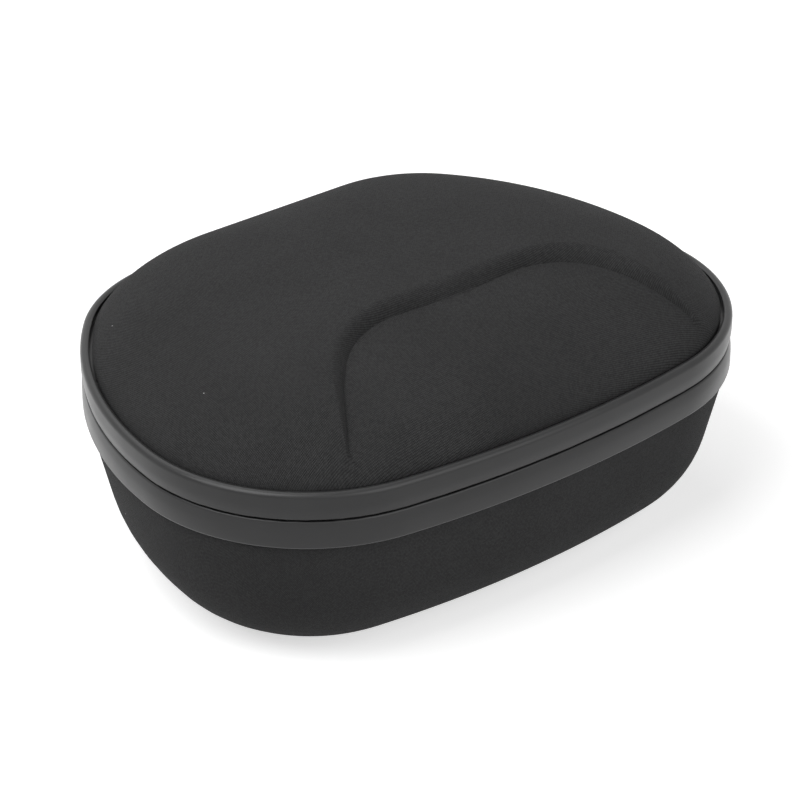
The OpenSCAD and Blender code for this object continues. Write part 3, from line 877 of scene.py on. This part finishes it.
class CASE_OT_tapes(CaseOperator):
    """The two coated zip tapes that make the raised band"""
    bl_idname = "case.tapes"
    bl_label = "Zip tapes"

    # Gap to the hinge strip, the sideways lean over which the groove widens, how high the
    # unevenness of a cut edge reaches, how long and how large it is
    clear = 0.4 * MM
    widening = (0.3, 0.95)
    ragged_h = 0.9 * MM
    ragged_run = 2 * MM
    ragged_by = (-0.1, 0.12)

    def build(self):
        s = self.shape
        p, d = self.outline.opened(HINGE_HALF + self.clear)
        grooves = np.interp(np.abs(d[:, 0]), self.widening, [s.groove_w, s.groove_end])
        lid_sets, base_sets = zip(*(tape_profiles(s, g) for g in grooves))
        along = run_length(p)
        ragged = self.ragged(along)
        for name, sets, up in (("lid_tape_film", lid_sets, 1), ("base_tape_film", base_sets, -1)):
            prof = np.array(sets)
            prof = np.concatenate([prof, prof[:, :1]], axis=1)
            rings = []
            for k in range(prof.shape[1]):
                q = prof[:, k]
                near = np.clip(1 - (q[:, 1] - s.seam_half) / self.ragged_h, 0, 1)
                z = s.seam_z + up * (q[:, 1] + ragged[up] * near)
                rings.append(np.column_stack([p - q[:, :1] * d, z]))
            across = run_length(prof[0])
            uv = [np.column_stack([along, np.full(len(along), w)]) for w in across]
            obj = extruded_rings(name, rings, uv, open_path=True)
            smooth(obj, 50)
            body = name.split("_")[0]
            dress(obj, "film", body, body + "_tape")

    def ragged(self, along):
        """The cut edges of the tapes aren't quite even."""
        rng = np.random.default_rng(7)
        out = {}
        for up in (1, -1):
            knots = np.arange(0, along[-1] + 2 * self.ragged_run, self.ragged_run)
            out[up] = np.interp(along, knots, rng.uniform(*self.ragged_by, len(knots))) * MM
        return out


class CASE_OT_hinge(CaseOperator):
    """Flexible strip that joins the shells at the back"""
    bl_idname = "case.hinge"
    bl_label = "Hinge strip"

    # Share of the tape's thickness, and half the height of a bend with the lid, which the strip
    # here doesn't make
    share = 0.8
    bend = 4 * MM

    def build(self):
        s = self.shape
        x = np.linspace(-HINGE_HALF, HINGE_HALF, 25)
        profile = self.loop(s)
        p = np.column_stack([x[::-1], np.full(len(x), self.outline.back_y)])
        d = np.tile([0.0, 1.0], (len(x), 1))
        obj = sweep("hinge_strip_film", (p, d), profile, False)
        smooth(obj, 50)
        dress(obj, "film", None, "hinge_strip_lid", "hinge_strip_base")
        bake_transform(obj)

    def loop(self, s):
        """The strip's closed section, from its lower edge up over the lip and back down."""
        thick, bottom = s.tape_t * self.share, s.tape_h - s.groove_z - MM
        zs = np.linspace(-s.tape_h + 0.9 * MM, s.tape_h - s.lip_roll, 27)
        out = [(bulge(s, z), z) for z in zs]
        lip = lip_curve(s, s.groove_w)[1:] + [(s.lip_w - s.groove_w, bottom),
                                              (thick + MM, bottom - WEB)]
        back = [(bulge(s, z) + thick, z)
                for z in np.linspace(s.edge_h + WEB, -s.tape_h + FOOT_H, 22)]
        foot = [(thick - FOOT_BACK, -s.tape_h), (FOOT_FLAT, -s.tape_h),
                (FOOT_EDGE, -s.tape_h + FOOT_H)]
        return [(q[0], s.seam_z + q[1]) for q in out + lip + back + foot]


class CASE_OT_bindings(CaseOperator):
    """Ribbed ribbons that bind the shells' inner edges"""
    bl_idname = "case.bindings"
    bl_label = "Edge bindings"

    # Thickness, height and rounding of the folded ribbon, and its clearance
    ribbon_t, ribbon_h, rounding, ease = 0.75 * MM, 3 * MM, 0.3 * MM, 0.15 * MM

    def build(self):
        s = self.shape
        t = s.cover_t + s.foam_t + s.lining_t
        e, b, h, r = s.edge_h, self.ribbon_t, self.ribbon_h, self.rounding
        path = self.outline.closed()
        for body, up, wall, ease in (("lid", 1, s.lip_w, self.ease),
                                     ("base", -1, s.tape_t, 2 * self.ease)):
            first, inner = wall + ease, wall + t
            face = inner + self.ease
            prof = [(first, e), (first, e - b + r), (first + r, e - b), (inner + b - r, e - b),
                    (face + b, e - b + 2 * r), (face + b, e + h - r), (face + b - r, e + h),
                    (face, e + h), (face, e)]
            obj = sweep(body + "_binding_ribbon", path,
                        [(q[0], s.seam_z + up * q[1]) for q in prof], True)
            smooth(obj, 45)
            dress(obj, "ribbon", body, body + "_binding")


class CASE_OT_coils(CaseOperator):
    """Nylon coils of the zip, one loop modelled and copied along each tape"""
    bl_idname = "case.coils"
    bl_label = "Zip coils"

    # Pitch, radius, wire, stretch and lean of a loop, its inset from the tape, its height
    # from the seam, and the gap to the hinge strip
    pitch, radius, wire = 1.5 * MM, 0.72 * MM, 0.3 * MM
    stretch, lean = 1.05, 16
    inset, rise, clear = 1.1 * MM, 1.55 * MM, 3.2 * MM

    def build(self):
        s = self.shape
        p, d = self.outline.opened(HINGE_HALF + self.clear, 3)
        p = p - (s.seam_set + s.tape_t + self.inset) * d
        along = run_length(p)
        at = (np.arange(int(along[-1] / self.pitch)) + 0.5) * self.pitch
        places = np.column_stack([np.interp(at, along, v) for v in (*p.T, *d.T)])
        for body, up in (("lid", 1), ("base", -1)):
            self.copy_along(body, self.one_loop(), places, s.seam_z + up * self.rise)

    def one_loop(self):
        clear_selection()
        bpy.ops.mesh.primitive_torus_add(major_segments=10, minor_segments=4,
                                         major_radius=self.radius, minor_radius=self.wire)
        obj = bpy.context.object
        bpy.ops.object.mode_set(mode="EDIT")
        bpy.ops.mesh.select_all(action="SELECT")
        bpy.ops.transform.resize(value=(self.stretch, self.stretch, 1))
        bpy.ops.object.mode_set(mode="OBJECT")
        obj.data.transform(Matrix.Rotation(math.radians(90), 4, "X"))
        obj.data.transform(Matrix.Rotation(math.radians(self.lean), 4, "Z"))
        return obj

    def copy_along(self, body, loop, places, z):
        """The loop at every place (x, y and outward direction), joined to one piece."""
        co = np.zeros(len(loop.data.vertices) * 3)
        loop.data.vertices.foreach_get("co", co)
        co = co.reshape(-1, 3)
        faces = [tuple(f.vertices) for f in loop.data.polygons]
        verts, polys = [], []
        for i, place in enumerate(places):
            out = place[2:] / np.linalg.norm(place[2:])
            side = np.array([-out[1], out[0]])
            xy = place[:2] + co[:, :1] * out + co[:, 1:2] * side
            verts.append(np.column_stack([xy, z + co[:, 2]]))
            polys += [tuple(v + i * len(co) for v in f) for f in faces]
        name = body + "_coil_loops"
        me = bpy.data.meshes.new(name)
        me.from_pydata(np.vstack(verts).tolist(), [], polys)
        me.update()
        bpy.data.objects.remove(loop)
        obj = bpy.data.objects.new(name, me)
        bpy.context.collection.objects.link(obj)
        smooth(obj, 60)
        dress(obj, "coil", body, body + "_coil")


def softened_copy(node, name, width):
    """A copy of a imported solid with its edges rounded."""
    obj = bpy.data.objects.new(name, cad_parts[node].data.copy())
    bpy.context.collection.objects.link(obj)
    activate(obj)
    bpy.ops.object.mode_set(mode="EDIT")
    bpy.ops.mesh.select_all(action="SELECT")
    bpy.ops.mesh.remove_doubles(threshold=WELD)
    bpy.ops.mesh.dissolve_limited(angle_limit=math.radians(3))
    bpy.ops.object.mode_set(mode="OBJECT")
    apply_modifier(obj, "BEVEL", width=width, segments=2, limit_method="ANGLE",
                   angle_limit=math.radians(30))
    smooth(obj, 35)
    return obj


class CASE_OT_sliders(CaseOperator):
    """Sliders, pulls and end stops of the zip"""
    bl_idname = "case.sliders"
    bl_label = "Zip metal"

    # Rounding of the sliders' edges and of the other edges
    slider_edge, edge = 0.12 * MM, 0.22 * MM

    def build(self):
        for node in ("slider_front", "slider_rear", "pull_front", "pull_rear",
                     "lid_end_stops", "base_end_stops"):
            body = node.replace("_end_stops", "")
            width = self.slider_edge if "slider" in node else self.edge
            obj = softened_copy(node, node + "_metal", width)
            dress(obj, "metal", body, node)


class CASE_OT_pocket(CaseOperator):
    """Net pocket and its elastic inside the lid"""
    bl_idname = "case.pocket"
    bl_label = "Lid pocket"

    # How far the net sags, depth and length of a gather of the elastic, its thickness and
    # rounding, and the part of the outline that counts for the pocket's width
    sag = 0.35 * MM
    gather_h, gather_l = 0.12 * MM, 6 * MM
    elastic_t, rounding = 1.1 * MM, 0.25 * MM
    outline_from = -0.02

    def build(self):
        low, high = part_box("pocket_mesh")
        net = self.net(low, high)
        band = self.elastic(*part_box("pocket_elastic"))
        dress(net, "net", "lid", "pocket_mesh")
        dress(band, "elastic", "lid", "pocket_elastic")

    def half_width(self, y, inset):
        p, d = self.outline.closed()
        q = p - inset * d
        right = q[q[:, 0] >= 0]
        right = right[right[:, 1] > self.outline_from]
        o = np.argsort(right[:, 1])
        return np.interp(y, right[o, 1], right[o, 0])

    def grid_sheet(self, name, n, ys, inset, height):
        """A grid whose rows lie across the pocket; height(x, y, u) gives z."""
        clear_selection()
        bpy.ops.mesh.primitive_grid_add(x_subdivisions=n - 1, y_subdivisions=len(ys) - 1, size=1)
        obj = bpy.context.object
        obj.name = obj.data.name = name
        u = np.linspace(-1, 1, n)
        co, uv = [], []
        for y, half in zip(ys, self.half_width(ys, inset)):
            x = u * half
            co.append(np.column_stack([x, np.full(n, y), height(x, y, u)]))
            uv.append(np.column_stack([x, np.full(n, y)]))
        co, uv = np.vstack(co), np.vstack(uv)
        me = obj.data
        me.vertices.foreach_set("co", co.reshape(-1))
        me.uv_layers[0].name = "cloth"
        me.uv_layers[0].data.foreach_set("uv", uv[loop_vertices(me)].reshape(-1))
        me.update()
        return obj

    def net(self, low, high):
        z = (low.z + high.z) / 2
        ys = np.linspace(low.y - MM, high.y - 0.2 * MM, 41)

        def height(x, y, u):
            v = max(0.0, min(1.0, (y - low.y) / (high.y - low.y)))
            return z - self.sag * (1 - u ** 2) * math.sin(math.pi * v)

        obj = self.grid_sheet("pocket_net", 73, ys, self.outline.back_y - high.y, height)
        bm = bmesh.new()
        bm.from_mesh(obj.data)
        self.flat_area = sum(f.calc_area() for f in bm.faces)
        bm.free()
        smooth(obj, 60)
        return obj

    def elastic(self, low, high):
        """A soft ribbon with a shallow wave from its gathers."""
        z = (low.z + high.z) / 2
        inset = self.outline.back_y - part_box("pocket_mesh")[1].y

        def height(x, y, u):
            return z + self.gather_h * np.sin(x * 2 * math.pi / self.gather_l)

        obj = self.grid_sheet("pocket_elastic_ribbon", 121, np.linspace(low.y, high.y, 7),
                              inset, height)
        apply_modifier(obj, "SOLIDIFY", thickness=self.elastic_t, offset=0)
        apply_modifier(obj, "BEVEL", width=self.rounding, segments=2,
                       limit_method="ANGLE")
        smooth(obj, 50)
        return obj


# Side of each square lamp, the point that all face, and their names, places and watts
LAMP_SIZE = 1.2
LAMP_AIM = (0, 0, 0.05)
LAMPS = [
    ("softbox_180_55", (-0.918, 0.0, 1.361), 18.4),
    ("softbox_285_32", (0.351, -1.311, 0.898), 7.6),
    ("softbox_90_55", (0.0, 0.918, 1.361), 4.62),
    ("softbox_260_32", (-0.236, -1.336, 0.898), 2.63),
    ("softbox_90_85", (0.0, 0.139, 1.644), 2.2),
]
# Share of white that the floor gives off to camera, mirror and glass rays
FLOOR_GLOW = 0.62
FLOOR_SIZE = 12
SENSOR = 36
CLIP_END = 50


def lamp(name, at, watts):
    data = bpy.data.lights.new(name, "AREA")
    data.shape = "RECTANGLE"
    data.size = data.size_y = LAMP_SIZE
    data.energy = watts
    obj = bpy.data.objects.new(name, data)
    bpy.context.collection.objects.link(obj)
    obj.location = at
    obj.rotation_euler = (Vector(LAMP_AIM) - Vector(at)).to_track_quat("-Z", "Y").to_euler()


class CASE_OT_stage(CaseOperator):
    """Floor, surroundings, lamps and camera"""
    bl_idname = "case.stage"
    bl_label = "Stage"

    def build(self):
        scene = bpy.context.scene
        st = scene.case_stage
        clear_selection()
        bpy.ops.mesh.primitive_plane_add(size=FLOOR_SIZE, location=(0, 0, 0))
        floor = bpy.context.object
        floor.name = "floor"
        floor.data.materials.append(self.floor_material(scene.case_finish.floor))
        self.surroundings(scene)
        for name, at, watts in LAMPS:
            lamp(name, at, watts)
        cam = bpy.data.objects.new("camera", bpy.data.cameras.new("camera"))
        scene.collection.objects.link(cam)
        a, e = st.azimuth, st.elevation
        back = Vector((math.sin(a) * math.cos(e), -math.cos(a) * math.cos(e), math.sin(e)))
        cam.location = Vector(st.aim) + back * st.distance
        cam.rotation_euler = back.to_track_quat("Z", "Y").to_euler()
        cam.data.lens = st.lens
        cam.data.sensor_width = SENSOR
        cam.data.clip_end = CLIP_END
        scene.camera = cam
        scene.view_settings.view_transform = "Standard"

    def seen_rays(self, t):
        """1 for the rays that show a surface, 0 for those that light it."""
        rays = t.node("ShaderNodeLightPath").outputs
        return t.math("MAXIMUM", rays["Is Camera Ray"],
                      t.math("MAXIMUM", rays["Is Glossy Ray"], rays["Is Transmission Ray"]))

    def floor_material(self, colour):
        mat = bpy.data.materials.new("floor_paper")
        mat.use_nodes = True
        t = Tree(mat.node_tree)
        nodes = mat.node_tree.nodes
        nodes.remove(nodes["Principled BSDF"])
        diffuse = t.node("ShaderNodeBsdfDiffuse", {"Color": (*colour, 1.0)})
        glow = t.node("ShaderNodeEmission", {"Color": (1, 1, 1, 1), "Strength": t.math(
            "MULTIPLY", self.seen_rays(t), FLOOR_GLOW)})
        both = t.node("ShaderNodeAddShader")
        t.put(both.inputs[0], diffuse.outputs[0])
        t.put(both.inputs[1], glow.outputs[0])
        t.put(nodes["Material Output"].inputs["Surface"], both.outputs[0])
        return mat

    def surroundings(self, scene):
        world = bpy.data.worlds.new("surroundings")
        scene.world = world
        world.use_nodes = True
        t = Tree(world.node_tree)
        bg = world.node_tree.nodes["Background"]
        bg.inputs["Color"].default_value = (1, 1, 1, 1)
        t.put(bg.inputs["Strength"], self.seen_rays(t))


class CASE_PT_panel(bpy.types.Panel):
    bl_label = "Headphone case"
    bl_idname = "CASE_PT_panel"
    bl_space_type = "VIEW_3D"
    bl_region_type = "UI"
    bl_category = "Case"

    def draw(self, context):
        col = self.layout.column(align=True)
        for op in OPERATORS:
            col.operator(op.bl_idname)
        for holder in ("case_shape", "case_finish", "case_stage"):
            settings = getattr(context.scene, holder)
            for key in settings.__annotations__:
                self.layout.prop(settings, key)


OPERATORS = [CASE_OT_covers, CASE_OT_linings, CASE_OT_tapes, CASE_OT_hinge, CASE_OT_bindings,
             CASE_OT_coils, CASE_OT_sliders, CASE_OT_pocket, CASE_OT_stage]
GROUPS = {"case_shape": CaseShape, "case_finish": CaseFinish, "case_stage": CaseStage}


def register():
    for cls in [*GROUPS.values(), *OPERATORS, CASE_PT_panel]:
        bpy.utils.register_class(cls)
    for name, cls in GROUPS.items():
        setattr(bpy.types.Scene, name, bpy.props.PointerProperty(type=cls))


def unregister():
    for name in GROUPS:
        delattr(bpy.types.Scene, name)
    for cls in [CASE_PT_panel, *OPERATORS, *GROUPS.values()]:
        bpy.utils.unregister_class(cls)


def main():
    register()
    build_materials()
    for op in OPERATORS:
        getattr(bpy.ops.case, op.bl_idname.split(".")[1])()


if __name__ == "__main__":
    main()
